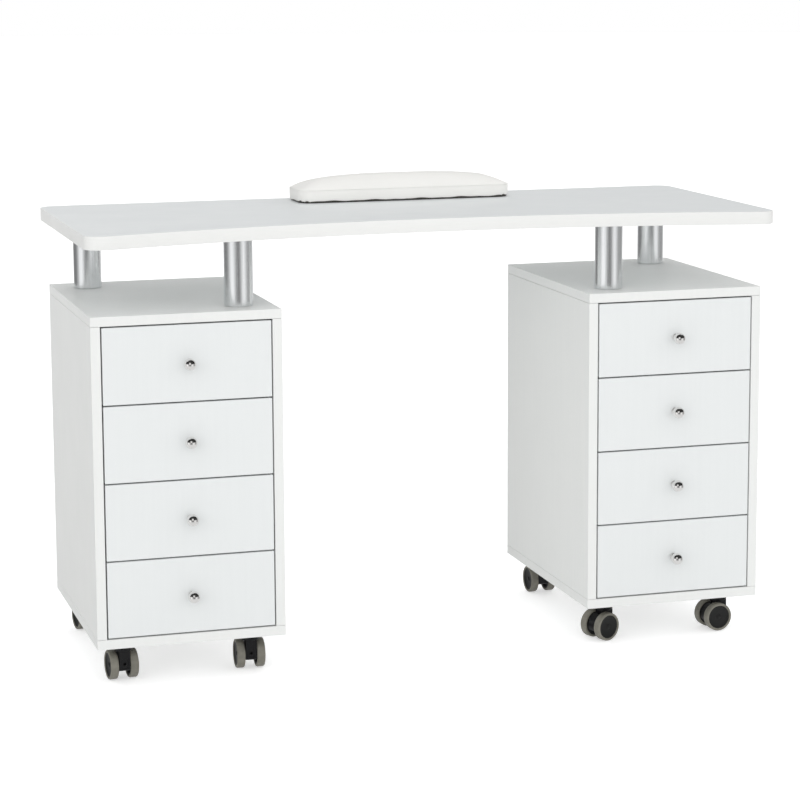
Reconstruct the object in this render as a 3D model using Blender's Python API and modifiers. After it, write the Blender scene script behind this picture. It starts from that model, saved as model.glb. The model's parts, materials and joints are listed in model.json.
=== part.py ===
"""Double pedestal manicure table: eight drawers on runners, tube posts, swivel casters, wrist cushion.

Run it with blender --background --python part.py, or from Blender's text editor.
Metres, +Z up. The origin is on the floor under the middle of the tabletop. +X runs along the
tabletop, and the drawers open towards -Y, where the technician sits.
"""

import math

import bmesh
import bpy

# Tabletop
TABLE_LENGTH = 1.190
TABLE_DEPTH = 0.500
TABLE_THICKNESS = 0.022
TABLE_CORNER_RADIUS = 0.028
FRONT_SCOOP = 0.079  # how far the front edge curves in, from its corners to its middle
END_OVERHANG = 0.011
FRONT_OVERHANG = 0.042
BACK_OVERHANG = 0.033
CORNER_STEPS = 6
SCOOP_STEPS = 28

# Pedestals: board boxes with a full-width top and bottom, and the sides and back between them
PEDESTAL_WIDTH = 0.316
PEDESTAL_DEPTH = TABLE_DEPTH - FRONT_OVERHANG - BACK_OVERHANG
PEDESTAL_HEIGHT = 0.549
BOARD = 0.016
TOUCH_GAP = 0.0003  # between pieces that rest on each other
OPENING_WIDTH = PEDESTAL_WIDTH - 2 * BOARD
OPENING_HEIGHT = PEDESTAL_HEIGHT - 2 * BOARD

# Posts between the pedestals and the tabletop
POST_HEIGHT = 0.112
POST_RADIUS = 0.024
POST_WALL = 0.0015
POST_SIDE_INSET = 0.058  # post axis to the pedestal's inner or outer side
POST_END_INSET = 0.062  # post axis to the pedestal's front or back
POST_SIDES = 28

# Drawers: inset fronts, each with an open box behind it
DRAWER_COUNT = 4
DRAWER_REVEAL = 0.0024  # gap round each drawer front
DRAWER_FRONT_THICKNESS = 0.016
FRONT_WIDTH = OPENING_WIDTH - 2 * DRAWER_REVEAL
FRONT_HEIGHT = (OPENING_HEIGHT - (DRAWER_COUNT + 1) * DRAWER_REVEAL) / DRAWER_COUNT
DRAWER_PITCH = FRONT_HEIGHT + DRAWER_REVEAL
BOX_RISE = 0.0150  # underside of the box above the lower edge of its front
BOX_DROP = 0.0212  # top of the box below the upper edge of its front
BOX_BACK_SPACE = 0.043  # between the closed box and the pedestal's back
BOX_HEIGHT = FRONT_HEIGHT - BOX_RISE - BOX_DROP
BOX_LENGTH = PEDESTAL_DEPTH - BOARD - DRAWER_FRONT_THICKNESS - BOX_BACK_SPACE
BOX_WALL = 0.012
BOX_BOTTOM = 0.006

# Runners: a channel on each pedestal side, and a track along each side of the drawer box
RUNNER_SPACE = 0.0125  # between a drawer box and the pedestal side
RUNNER_SHEET = 0.0015
LEDGE_CLEARANCE = 0.0020  # channel ledge to the drawer box
TRACK_CLEARANCE = 0.0010  # track to the channel's web
TRACK_HEIGHT = 0.0130  # underside of the track above the channel's ledge
WEB_HEIGHT = 0.0220
RUNNER_OVERLAP = 0.001  # how far a runner is let into its board
LEDGE_REACH = RUNNER_SPACE - LEDGE_CLEARANCE
TRACK_REACH = RUNNER_SPACE - RUNNER_SHEET - TRACK_CLEARANCE
BOX_WIDTH = OPENING_WIDTH - 2 * RUNNER_SPACE

# Knobs
KNOB_RADIUS = 0.01025
KNOB_STAND_OFF = 0.018  # centre of the ball in front of the drawer front
KNOB_NECK_RADIUS = 0.004
KNOB_FOOT_RADIUS = 0.0062
KNOB_FOOT_THICKNESS = 0.002
KNOB_STUD_RADIUS = 0.0020
KNOB_STUD_COVER = 0.002  # from the stud's end to the back of the drawer front
KNOB_STUD_CLEARANCE = 0.0003
KNOB_SIDES = 14

# Casters
CASTER_INSET = 0.050  # swivel axis to the pedestal's edges
CASTER_TRAIL = 0.010  # swivel axis to the axle
WHEEL_RADIUS = 0.025
WHEEL_WIDTH = 0.014
WHEEL_SPACING = 0.020  # between the inner faces of the two wheels
WHEEL_SHOULDER = 0.0025
WHEEL_SIDES = 20
AXLE_RADIUS = 0.0030
AXLE_CLEARANCE = 0.0004
AXLE_HEIGHT = WHEEL_RADIUS * math.cos(math.pi / WHEEL_SIDES)  # a flat of the wheel rests on the floor
FORK_CLEARANCE = 0.0010  # fork to the inner face of each wheel
FORK_SETBACK = 0.0045  # fork's round back inside the wheel's edge
FORK_FRONT = 0.012
FORK_DEPTH = 0.0078  # underside of the fork below the axle
FORK_THICKNESS = WHEEL_SPACING - 2 * FORK_CLEARANCE
FORK_RADIUS = WHEEL_RADIUS - FORK_SETBACK
TURRET_RADIUS = 0.0145
TURRET_HEIGHT = 0.0125
TURRET_CLEARANCE = 0.0020  # turret's foot above the wheels
PLATE_THICKNESS = 0.0025
TURRET_FOOT = 2 * WHEEL_RADIUS + TURRET_CLEARANCE
CASTER_HEIGHT = TURRET_FOOT + TURRET_HEIGHT + PLATE_THICKNESS
STEM_RADIUS = 0.0050
STEM_COVER = 0.0040  # board left above the stem
STEM_INSERTION = BOARD - STEM_COVER
STEM_CLEARANCE = 0.0003
STEM_SIDES = 20

# Direction of each caster's axle, in degrees from +X
SWIVEL_ANGLES = {
    "left_front_outer": 4.5,
    "left_front_inner": -3.0,
    "left_back_outer": 8.0,
    "left_back_inner": -6.0,
    "right_front_outer": 96.0,
    "right_front_inner": 112.0,
    "right_back_outer": 12.0,
    "right_back_inner": 2.0,
}

# Wrist cushion
CUSHION_LENGTH = 0.400
CUSHION_DEPTH = 0.105
CUSHION_EDGE_HEIGHT = 0.0215
CUSHION_CROWN = 0.0205  # rise of the top from the ends to the middle
CUSHION_OFFSET = 0.0495  # cushion's middle along the tabletop
CUSHION_BACK_GAP = 0.012  # cushion to the tabletop's back edge
CUSHION_BASE_THICKNESS = 0.006
CUSHION_BASE_INSET = 0.005
CUSHION_CORNER_RADIUS = 0.022
CUSHION_ROUNDING = 0.011

UNDERSIDE = CASTER_HEIGHT + PEDESTAL_HEIGHT + POST_HEIGHT  # of the tabletop

X_AXIS_UP = (0, math.pi / 2, 0)  # turns a piece's own Z onto X
Y_AXIS_OUT = (math.pi / 2, 0, 0)  # turns a piece's own Z onto -Y
SIDE_VIEW = (math.pi / 2, 0, math.pi / 2)  # lays an outline drawn in XY into the YZ plane


def clear_scene():
    for obj in list(bpy.data.objects):
        bpy.data.objects.remove(obj, do_unlink=True)


def new_collection(name):
    collection = bpy.data.collections.new(name)
    bpy.context.scene.collection.children.link(collection)
    return collection


def new_material(name, colour, roughness, metallic=0.0):
    material = bpy.data.materials.new(name)
    material.use_nodes = True
    shader = material.node_tree.nodes["Principled BSDF"]
    shader.inputs["Base Color"].default_value = (*colour, 1.0)
    shader.inputs["Roughness"].default_value = roughness
    shader.inputs["Metallic"].default_value = metallic
    return material


clear_scene()
PARTS = new_collection("manicure_table")
CUTTERS = new_collection("cutters")

TABLETOP_WHITE = new_material("tabletop_melamine", (0.86, 0.87, 0.87), 0.42)
CARCASS_WHITE = new_material("carcass_melamine", (0.87, 0.87, 0.85), 0.45)
DRAWER_WHITE = new_material("drawer_front_melamine", (0.84, 0.86, 0.87), 0.40)
DRAWER_BOARD = new_material("drawer_box_board", (0.80, 0.80, 0.78), 0.55)
SATIN_ALUMINIUM = new_material("post_aluminium", (0.62, 0.64, 0.67), 0.32, 1.0)
CHROME = new_material("knob_chrome", (0.80, 0.80, 0.82), 0.08, 1.0)
BLACK_PLASTIC = new_material("caster_housing_plastic", (0.012, 0.012, 0.014), 0.45)
GREY_TREAD = new_material("caster_wheel_grey", (0.26, 0.26, 0.23), 0.55)
WHITE_LEATHERETTE = new_material("cushion_leatherette", (0.86, 0.85, 0.83), 0.38)
BASE_FELT = new_material("cushion_base_board", (0.10, 0.10, 0.09), 0.80)


def place(obj, parent=None, location=(0, 0, 0), rotation=(0, 0, 0)):
    obj.parent = parent
    obj.location = location
    obj.rotation_euler = rotation
    return obj


def add_part(name, mesh, material, parent=None, location=(0, 0, 0), rotation=(0, 0, 0)):
    obj = bpy.data.objects.new(name, mesh)
    PARTS.objects.link(obj)
    if not mesh.materials:
        mesh.materials.append(material)
    return place(obj, parent, location, rotation)


def add_helper(name, mesh, parent=None, location=(0, 0, 0), rotation=(0, 0, 0)):
    """A shape that is only cut from a part, or joined to it."""
    obj = bpy.data.objects.new(name, mesh)
    CUTTERS.objects.link(obj)
    obj.hide_render = True
    obj.display_type = "WIRE"
    return place(obj, parent, location, rotation)


def add_empty(name, parent=None, location=(0, 0, 0), rotation=(0, 0, 0)):
    obj = bpy.data.objects.new(name, None)
    PARTS.objects.link(obj)
    return place(obj, parent, location, rotation)


def add_boolean(obj, operation, operand):
    modifier = obj.modifiers.new(operand.name, "BOOLEAN")
    modifier.operation = operation
    modifier.object = operand
    modifier.solver = "EXACT"


def add_array(obj, count, offset):
    modifier = obj.modifiers.new("repeat", "ARRAY")
    modifier.count = count
    modifier.use_relative_offset = False
    modifier.use_constant_offset = True
    modifier.constant_offset_displace = offset


def box_mesh(name, size):
    """A box centred in X and Y, standing on its own origin."""
    bm = bmesh.new()
    bmesh.ops.create_cube(bm, size=1.0)
    bmesh.ops.translate(bm, vec=(0, 0, 0.5), verts=bm.verts)
    bmesh.ops.scale(bm, vec=size, verts=bm.verts)
    mesh = bpy.data.meshes.new(name)
    bm.to_mesh(mesh)
    bm.free()
    return mesh


def rod_mesh(name, radius, length, sides):
    """A cylinder centred on its own origin, along Z."""
    bm = bmesh.new()
    bmesh.ops.create_cone(
        bm, cap_ends=True, segments=sides, radius1=radius, radius2=radius, depth=length
    )
    mesh = bpy.data.meshes.new(name)
    bm.to_mesh(mesh)
    bm.free()
    return mesh


def outline_mesh(name, points, thickness):
    """A flat outline in XY, given its thickness evenly about that plane."""
    curve = bpy.data.curves.new(name, "CURVE")
    curve.dimensions = "2D"
    curve.fill_mode = "BOTH"
    curve.extrude = thickness / 2
    spline = curve.splines.new("POLY")
    spline.points.add(len(points) - 1)
    for spline_point, (x, y) in zip(spline.points, points):
        spline_point.co = (x, y, 0, 1)
    spline.use_cyclic_u = True
    drawn = bpy.data.objects.new(name, curve)
    CUTTERS.objects.link(drawn)
    graph = bpy.context.evaluated_depsgraph_get()
    mesh = bpy.data.meshes.new_from_object(drawn.evaluated_get(graph))
    mesh.name = name
    bpy.data.objects.remove(drawn, do_unlink=True)
    bm = bmesh.new()
    bm.from_mesh(mesh)
    bmesh.ops.remove_doubles(bm, verts=bm.verts, dist=0.00001)
    bm.to_mesh(mesh)
    bm.free()
    return mesh


def arc(centre, radius, start, end, steps):
    """Points along an arc, both ends included, with angles in radians."""
    points = []
    for i in range(steps + 1):
        angle = start + (end - start) * i / steps
        points.append((centre[0] + radius * math.cos(angle), centre[1] + radius * math.sin(angle)))
    return points


def rounded_rectangle(length, depth, radius, steps):
    """Outline of a rectangle with round corners about the origin, anticlockwise."""
    points = []
    for quarter, (sign_x, sign_y) in enumerate(((1, 1), (-1, 1), (-1, -1), (1, -1))):
        centre = (sign_x * (length / 2 - radius), sign_y * (depth / 2 - radius))
        start = quarter * math.pi / 2
        points += arc(centre, radius, start, start + math.pi / 2, steps)
    return points


def profile_mesh(name, points, closed=False):
    """An open or closed profile of (radius, height) points, for a Screw modifier about Z."""
    mesh = bpy.data.meshes.new(name)
    edges = [(i, i + 1) for i in range(len(points) - 1)]
    if closed:
        edges.append((len(points) - 1, 0))
    mesh.from_pydata([(radius, 0, height) for radius, height in points], edges, [])
    return mesh


def add_screw(obj, sides):
    modifier = obj.modifiers.new("turned", "SCREW")
    modifier.axis = "Z"
    modifier.angle = 2 * math.pi
    modifier.steps = sides
    modifier.render_steps = sides
    modifier.use_merge_vertices = True
    modifier.merge_threshold = 0.0001
    modifier.use_smooth_shade = True


def tabletop_outline():
    """Plan of the tabletop: straight back and ends, round corners, front edge curving in."""
    half_length = TABLE_LENGTH / 2
    half_depth = TABLE_DEPTH / 2
    radius = TABLE_CORNER_RADIUS
    corner_x = half_length - radius
    corner_y = radius - half_depth
    scoop_radius = (corner_x**2 + FRONT_SCOOP**2) / (2 * FRONT_SCOOP) - radius
    scoop_centre_y = FRONT_SCOOP - half_depth - scoop_radius
    to_corner = math.atan2(corner_y - scoop_centre_y, corner_x)
    points = arc((corner_x, half_depth - radius), radius, 0, math.pi / 2, CORNER_STEPS)
    points += arc((-corner_x, half_depth - radius), radius, math.pi / 2, math.pi, CORNER_STEPS)
    points += arc((-corner_x, corner_y), radius, math.pi, 2 * math.pi - to_corner, CORNER_STEPS)
    scoop = arc((0, scoop_centre_y), scoop_radius, math.pi - to_corner, to_corner, SCOOP_STEPS)
    points += scoop[1:-1]
    points += arc((corner_x, corner_y), radius, math.pi + to_corner, 2 * math.pi, CORNER_STEPS)
    return points


def build_tabletop():
    mesh = outline_mesh("tabletop", tabletop_outline(), TABLE_THICKNESS)
    add_part("tabletop", mesh, TABLETOP_WHITE, location=(0, 0, UNDERSIDE + TABLE_THICKNESS / 2))


def runner_channel_outline():
    """Section of a pedestal runner: a web against the board, and the ledge that the rollers run on."""
    return (
        (-RUNNER_OVERLAP, 0),
        (LEDGE_REACH, 0),
        (LEDGE_REACH, RUNNER_SHEET),
        (RUNNER_SHEET, RUNNER_SHEET),
        (RUNNER_SHEET, WEB_HEIGHT),
        (-RUNNER_OVERLAP, WEB_HEIGHT),
    )


def build_side_panel(name, pedestal, inward, across):
    """A pedestal side at the local x of across, with one runner channel for each drawer."""
    height = OPENING_HEIGHT - 2 * TOUCH_GAP
    size = (BOARD, PEDESTAL_DEPTH, height)
    panel = add_part(
        name, box_mesh(name, size), CARCASS_WHITE, pedestal, (across, 0, BOARD + TOUCH_GAP)
    )
    mesh = outline_mesh(name + "_channel", runner_channel_outline(), BOX_LENGTH)
    if inward < 0:
        for vertex in mesh.vertices:
            vertex.co.x = -vertex.co.x
        mesh.flip_normals()
    channel = add_helper(
        name + "_channels",
        mesh,
        pedestal,
        (
            across + inward * BOARD / 2,
            DRAWER_FRONT_THICKNESS + (BOX_LENGTH - PEDESTAL_DEPTH) / 2,
            BOARD + DRAWER_REVEAL + BOX_RISE,
        ),
        Y_AXIS_OUT,
    )
    add_array(channel, DRAWER_COUNT, (0, DRAWER_PITCH, 0))
    add_boolean(panel, "UNION", channel)


def build_bottom_panel(name, pedestal):
    """The bottom board, with a blind bore for each caster's stem."""
    panel = add_part(
        name, box_mesh(name, (PEDESTAL_WIDTH, PEDESTAL_DEPTH, BOARD)), CARCASS_WHITE, pedestal
    )
    depth = STEM_INSERTION + STEM_CLEARANCE
    bores = add_helper(
        name + "_bores",
        rod_mesh(name + "_bore", STEM_RADIUS + STEM_CLEARANCE, 2 * depth, STEM_SIDES),
        pedestal,
        (CASTER_INSET - PEDESTAL_WIDTH / 2, CASTER_INSET - PEDESTAL_DEPTH / 2, 0),
    )
    add_array(bores, 2, (PEDESTAL_WIDTH - 2 * CASTER_INSET, 0, 0))
    add_array(bores, 2, (0, PEDESTAL_DEPTH - 2 * CASTER_INSET, 0))
    add_boolean(panel, "DIFFERENCE", bores)


def build_carcass(name, pedestal, outward):
    build_bottom_panel(name + "_bottom_panel", pedestal)
    top_size = (PEDESTAL_WIDTH, PEDESTAL_DEPTH, BOARD)
    top_name = name + "_top_panel"
    top_place = (0, 0, PEDESTAL_HEIGHT - BOARD)
    add_part(top_name, box_mesh(top_name, top_size), CARCASS_WHITE, pedestal, top_place)
    side_place = outward * (PEDESTAL_WIDTH - BOARD) / 2
    build_side_panel(name + "_outer_side_panel", pedestal, -outward, side_place)
    build_side_panel(name + "_inner_side_panel", pedestal, outward, -side_place)
    back_name = name + "_back_panel"
    back_size = (OPENING_WIDTH - 2 * TOUCH_GAP, BOARD, OPENING_HEIGHT - 2 * TOUCH_GAP)
    back_place = (0, (PEDESTAL_DEPTH - BOARD) / 2, BOARD + TOUCH_GAP)
    add_part(back_name, box_mesh(back_name, back_size), CARCASS_WHITE, pedestal, back_place)


def build_posts(name, pedestal, outward):
    """One post at the inner front corner of the pedestal's top, and one at the outer back corner."""
    inner_radius = POST_RADIUS - POST_WALL
    height = POST_HEIGHT - 2 * TOUCH_GAP
    section = ((POST_RADIUS, height), (POST_RADIUS, 0), (inner_radius, 0), (inner_radius, height))
    across = PEDESTAL_WIDTH / 2 - POST_SIDE_INSET
    along = PEDESTAL_DEPTH / 2 - POST_END_INSET
    for where, x, y in (("front", -outward * across, -along), ("back", outward * across, along)):
        post_name = f"{name}_{where}_post"
        mesh = profile_mesh(post_name, section, closed=True)
        foot = PEDESTAL_HEIGHT + TOUCH_GAP
        post = add_part(post_name, mesh, SATIN_ALUMINIUM, pedestal, (x, y, foot))
        add_screw(post, POST_SIDES)


def knob_profile():
    """From the top of the ball down its outer side, over the neck and the foot, to the stud's end."""
    meets_neck = math.asin(KNOB_NECK_RADIUS / KNOB_RADIUS)
    stud_end = KNOB_STUD_COVER - DRAWER_FRONT_THICKNESS
    ball = arc((0, KNOB_STAND_OFF), KNOB_RADIUS, math.pi / 2, meets_neck - math.pi / 2, 7)
    return [
        (0, KNOB_STAND_OFF + KNOB_RADIUS),
        *ball[1:],
        (KNOB_NECK_RADIUS, KNOB_FOOT_THICKNESS),
        (KNOB_FOOT_RADIUS, KNOB_FOOT_THICKNESS),
        (KNOB_FOOT_RADIUS, TOUCH_GAP),
        (KNOB_STUD_RADIUS, TOUCH_GAP),
        (KNOB_STUD_RADIUS, stud_end),
        (0, stud_end),
    ]


def build_drawer_box(name, drawer):
    """An open tray, with a runner track let into each side."""
    size = (BOX_WIDTH, BOX_LENGTH, BOX_HEIGHT)
    middle = DRAWER_FRONT_THICKNESS + TOUCH_GAP + BOX_LENGTH / 2
    box = add_part(
        name, box_mesh(name, size), DRAWER_BOARD, drawer, (0, middle, BOX_RISE)
    )
    hollow_size = (
        BOX_WIDTH - 2 * BOX_WALL,
        BOX_LENGTH - 2 * BOX_WALL,
        BOX_HEIGHT,
    )
    hollow = add_helper(
        name + "_hollow",
        box_mesh(name + "_hollow", hollow_size),
        drawer,
        (0, middle, BOX_RISE + BOX_BOTTOM),
    )
    add_boolean(box, "DIFFERENCE", hollow)
    for side, sign in (("left", -1), ("right", 1)):
        track_size = (TRACK_REACH + RUNNER_OVERLAP, BOX_LENGTH - 2 * RUNNER_SHEET, RUNNER_SHEET)
        across = sign * (BOX_WIDTH + TRACK_REACH - RUNNER_OVERLAP) / 2
        track = add_helper(
            f"{name}_{side}_track",
            box_mesh(f"{name}_{side}_track", track_size),
            drawer,
            (across, middle, BOX_RISE + RUNNER_SHEET + TRACK_HEIGHT),
        )
        add_boolean(box, "UNION", track)


def build_drawer(name, pedestal, level):
    """Drawer number level, counted from the top. It slides towards -Y."""
    lower_edge = BOARD + DRAWER_REVEAL + (DRAWER_COUNT - level) * DRAWER_PITCH
    drawer = add_empty(name, pedestal, (0, -PEDESTAL_DEPTH / 2, lower_edge))
    front_name = name + "_front"
    front_size = (FRONT_WIDTH, DRAWER_FRONT_THICKNESS, FRONT_HEIGHT)
    front = add_part(
        front_name,
        box_mesh(front_name, front_size),
        DRAWER_WHITE,
        drawer,
        (0, DRAWER_FRONT_THICKNESS / 2, 0),
    )
    bore = add_helper(
        name + "_knob_bore",
        rod_mesh(
            name + "_knob_bore",
            KNOB_STUD_RADIUS + KNOB_STUD_CLEARANCE,
            3 * DRAWER_FRONT_THICKNESS,
            KNOB_SIDES,
        ),
        drawer,
        (0, DRAWER_FRONT_THICKNESS / 2, FRONT_HEIGHT / 2),
        Y_AXIS_OUT,
    )
    add_boolean(front, "DIFFERENCE", bore)
    build_drawer_box(name + "_box", drawer)
    knob_name = name + "_knob"
    knob = add_part(
        knob_name,
        profile_mesh(knob_name, knob_profile()),
        CHROME,
        drawer,
        (0, 0, FRONT_HEIGHT / 2),
        Y_AXIS_OUT,
    )
    add_screw(knob, KNOB_SIDES)


def fork_outline():
    """Side view of the caster's body, from the swivel axis towards the axle and up from the floor."""
    front_corner = 0.005
    bottom = AXLE_HEIGHT - FORK_DEPTH
    inside_turret = TURRET_FOOT + TURRET_HEIGHT / 2
    low_end = -math.asin(FORK_DEPTH / FORK_RADIUS)
    corner = (front_corner - FORK_FRONT, bottom + front_corner)
    points = arc(corner, front_corner, math.pi, 1.5 * math.pi, 4)
    points += arc((CASTER_TRAIL, AXLE_HEIGHT), FORK_RADIUS, low_end, math.pi / 2, 9)
    points += [(FORK_FRONT, TURRET_FOOT), (FORK_FRONT, inside_turret), (-FORK_FRONT, inside_turret)]
    return points


def turret_profile():
    """The round head that turns under the plate, with the stem on top of it."""
    top = TURRET_FOOT + TURRET_HEIGHT - TOUCH_GAP
    return (
        (0, CASTER_HEIGHT + STEM_INSERTION),
        (STEM_RADIUS, CASTER_HEIGHT + STEM_INSERTION),
        (STEM_RADIUS, top),
        (TURRET_RADIUS, top),
        (TURRET_RADIUS, TURRET_FOOT),
        (0, TURRET_FOOT),
    )


def wheelset_profile():
    """Two wheels on one axle, from the outer face of one to the outer face of the other."""
    inner = WHEEL_SPACING / 2
    outer = inner + WHEEL_WIDTH
    upper = [
        (0, outer),
        (WHEEL_RADIUS - WHEEL_SHOULDER, outer),
        (WHEEL_RADIUS, outer - WHEEL_SHOULDER),
        (WHEEL_RADIUS, inner + WHEEL_SHOULDER),
        (WHEEL_RADIUS - WHEEL_SHOULDER / 2, inner),
        (AXLE_RADIUS, inner),
    ]
    return upper + [(radius, -height) for radius, height in reversed(upper)]


def build_caster(name, pedestal, x, y, angle):
    """A twin wheel caster that turns about its stem and rolls about its axle."""
    swivel = add_empty(name + "_swivel", pedestal, (x, y, -CASTER_HEIGHT), (0, 0, angle))
    housing_name = name + "_caster_housing"
    housing = add_part(
        housing_name,
        outline_mesh(housing_name, fork_outline(), FORK_THICKNESS),
        BLACK_PLASTIC,
        swivel,
        rotation=SIDE_VIEW,
    )
    turret = add_helper(name + "_turret", profile_mesh(name + "_turret", turret_profile()), swivel)
    add_screw(turret, STEM_SIDES)
    add_boolean(housing, "UNION", turret)
    axle_bore = add_helper(
        name + "_axle_bore",
        rod_mesh(name + "_axle_bore", AXLE_RADIUS + AXLE_CLEARANCE, 3 * FORK_THICKNESS, STEM_SIDES),
        swivel,
        (0, CASTER_TRAIL, AXLE_HEIGHT),
        X_AXIS_UP,
    )
    add_boolean(housing, "DIFFERENCE", axle_bore)
    axle = add_empty(name + "_axle", swivel, (0, CASTER_TRAIL, AXLE_HEIGHT), X_AXIS_UP)
    wheels_name = name + "_caster_wheels"
    wheels = add_part(
        wheels_name,
        profile_mesh(wheels_name, wheelset_profile()),
        GREY_TREAD,
        axle,
        rotation=(0, 0, math.pi / WHEEL_SIDES),
    )
    add_screw(wheels, WHEEL_SIDES)


def build_pedestal(name, outward):
    """A drawer pedestal. outward is the sign of X from the kneehole towards it."""
    centre_x = outward * (TABLE_LENGTH / 2 - END_OVERHANG - PEDESTAL_WIDTH / 2)
    centre_y = (FRONT_OVERHANG - BACK_OVERHANG) / 2
    pedestal = add_empty(name + "_pedestal", location=(centre_x, centre_y, CASTER_HEIGHT))
    build_carcass(name, pedestal, outward)
    build_posts(name, pedestal, outward)
    for level in range(1, DRAWER_COUNT + 1):
        build_drawer(f"{name}_drawer_{level}", pedestal, level)
    across = PEDESTAL_WIDTH / 2 - CASTER_INSET
    along = PEDESTAL_DEPTH / 2 - CASTER_INSET
    for row, y in (("front", -along), ("back", along)):
        for column, x in (("outer", outward * across), ("inner", -outward * across)):
            caster = f"{name}_{row}_{column}"
            build_caster(caster, pedestal, x, y, math.radians(SWIVEL_ANGLES[caster]))


def stations(length, rounding, segments):
    """Grid lines across a cushion: one near each edge, the rest evenly between."""
    inner = length / 2 - rounding
    middle = [-inner + 2 * inner * i / segments for i in range(segments + 1)]
    return [-length / 2, *middle, length / 2]


def pad_mesh(name):
    """A cage for the pad: flat underneath, upright front, top highest in the middle."""
    along = stations(CUSHION_LENGTH, CUSHION_ROUNDING, 4)
    across = stations(CUSHION_DEPTH, CUSHION_ROUNDING, 2)
    bm = bmesh.new()
    bmesh.ops.create_grid(bm, x_segments=len(along) - 1, y_segments=len(across) - 1, size=1.0)
    bm.verts.ensure_lookup_table()
    for vertex in bm.verts:
        column = round((vertex.co.x + 1) / 2 * (len(along) - 1))
        row = round((vertex.co.y + 1) / 2 * (len(across) - 1))
        vertex.co.x = along[column]
        vertex.co.y = across[row]
    raised = bmesh.ops.extrude_face_region(bm, geom=bm.faces[:])
    for vertex in [g for g in raised["geom"] if isinstance(g, bmesh.types.BMVert)]:
        share_x = 2 * vertex.co.x / CUSHION_LENGTH
        share_y = 2 * vertex.co.y / CUSHION_DEPTH
        vertex.co.z = CUSHION_EDGE_HEIGHT + CUSHION_CROWN * (1 - share_x**4) * (1 - share_y**4 / 3)
    bmesh.ops.recalc_face_normals(bm, faces=bm.faces[:])
    mesh = bpy.data.meshes.new(name)
    bm.to_mesh(mesh)
    bm.free()
    return mesh


def build_cushion():
    """The wrist cushion lies loose near the back edge: an upholstered pad on a thin board."""
    back = TABLE_DEPTH / 2 - CUSHION_BACK_GAP
    centre = (CUSHION_OFFSET, back - CUSHION_DEPTH / 2, UNDERSIDE + TABLE_THICKNESS)
    cushion = add_empty("cushion", location=centre)
    outline = rounded_rectangle(
        CUSHION_LENGTH - 2 * CUSHION_BASE_INSET,
        CUSHION_DEPTH - 2 * CUSHION_BASE_INSET,
        CUSHION_CORNER_RADIUS,
        CORNER_STEPS,
    )
    add_part(
        "cushion_base",
        outline_mesh("cushion_base", outline, CUSHION_BASE_THICKNESS),
        BASE_FELT,
        cushion,
        (0, 0, TOUCH_GAP + CUSHION_BASE_THICKNESS / 2),
    )
    pad = add_part(
        "cushion_pad",
        pad_mesh("cushion_pad"),
        WHITE_LEATHERETTE,
        cushion,
        (0, 0, 2 * TOUCH_GAP + CUSHION_BASE_THICKNESS),
    )
    rounding = pad.modifiers.new("rounding", "SUBSURF")
    rounding.levels = 1
    rounding.render_levels = 1


build_tabletop()
build_pedestal("left", -1)
build_pedestal("right", 1)
build_cushion()
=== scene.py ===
"""Finished looks of the double pedestal manicure table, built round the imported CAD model.

Metres, +Z up, in the frame of the CAD model. Positions come from its node boxes and joints.
"""

import json
import math

import bmesh
import bpy
from mathutils import Matrix, Vector


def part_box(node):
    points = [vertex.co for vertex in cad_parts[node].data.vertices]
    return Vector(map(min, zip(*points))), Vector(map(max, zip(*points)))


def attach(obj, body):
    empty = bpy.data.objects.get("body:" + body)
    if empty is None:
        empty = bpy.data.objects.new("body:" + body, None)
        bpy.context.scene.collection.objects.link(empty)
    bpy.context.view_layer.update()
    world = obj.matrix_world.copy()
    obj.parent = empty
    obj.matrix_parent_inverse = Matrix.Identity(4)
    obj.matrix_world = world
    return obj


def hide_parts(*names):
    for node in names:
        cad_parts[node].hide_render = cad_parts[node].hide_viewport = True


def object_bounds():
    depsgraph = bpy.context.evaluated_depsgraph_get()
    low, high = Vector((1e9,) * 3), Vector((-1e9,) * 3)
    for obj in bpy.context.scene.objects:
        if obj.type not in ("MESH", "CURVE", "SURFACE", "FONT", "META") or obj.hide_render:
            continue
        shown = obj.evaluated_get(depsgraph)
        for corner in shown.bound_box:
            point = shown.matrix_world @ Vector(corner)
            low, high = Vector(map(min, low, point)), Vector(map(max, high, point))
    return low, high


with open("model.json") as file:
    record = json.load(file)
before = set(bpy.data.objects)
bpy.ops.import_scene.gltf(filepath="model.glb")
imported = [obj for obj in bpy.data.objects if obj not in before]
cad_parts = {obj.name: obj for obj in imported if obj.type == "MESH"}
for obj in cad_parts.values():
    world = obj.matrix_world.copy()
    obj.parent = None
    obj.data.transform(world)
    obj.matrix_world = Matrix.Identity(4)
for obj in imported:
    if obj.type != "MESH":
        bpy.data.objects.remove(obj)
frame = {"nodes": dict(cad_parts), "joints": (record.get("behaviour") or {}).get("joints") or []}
NODES = frame["nodes"]
JOINTS = {joint["name"]: joint for joint in frame["joints"]}
CAD_LOW, CAD_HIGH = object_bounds()

SIDES = (("left", -1), ("right", 1))
BOARD = 0.016
PEDESTAL_CENTRE = sum(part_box("right_top_panel")[i].x for i in (0, 1)) / 2
PEDESTAL_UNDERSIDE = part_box("left_bottom_panel")[0].z
SIDE_INNER_FACE = PEDESTAL_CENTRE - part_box("right_inner_side_panel")[0].x - BOARD
BOX_HALF_WIDTH = 0.1295  # from a pedestal's middle to the outer face of a drawer box


# ---------------------------------------------------------------- materials


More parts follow.
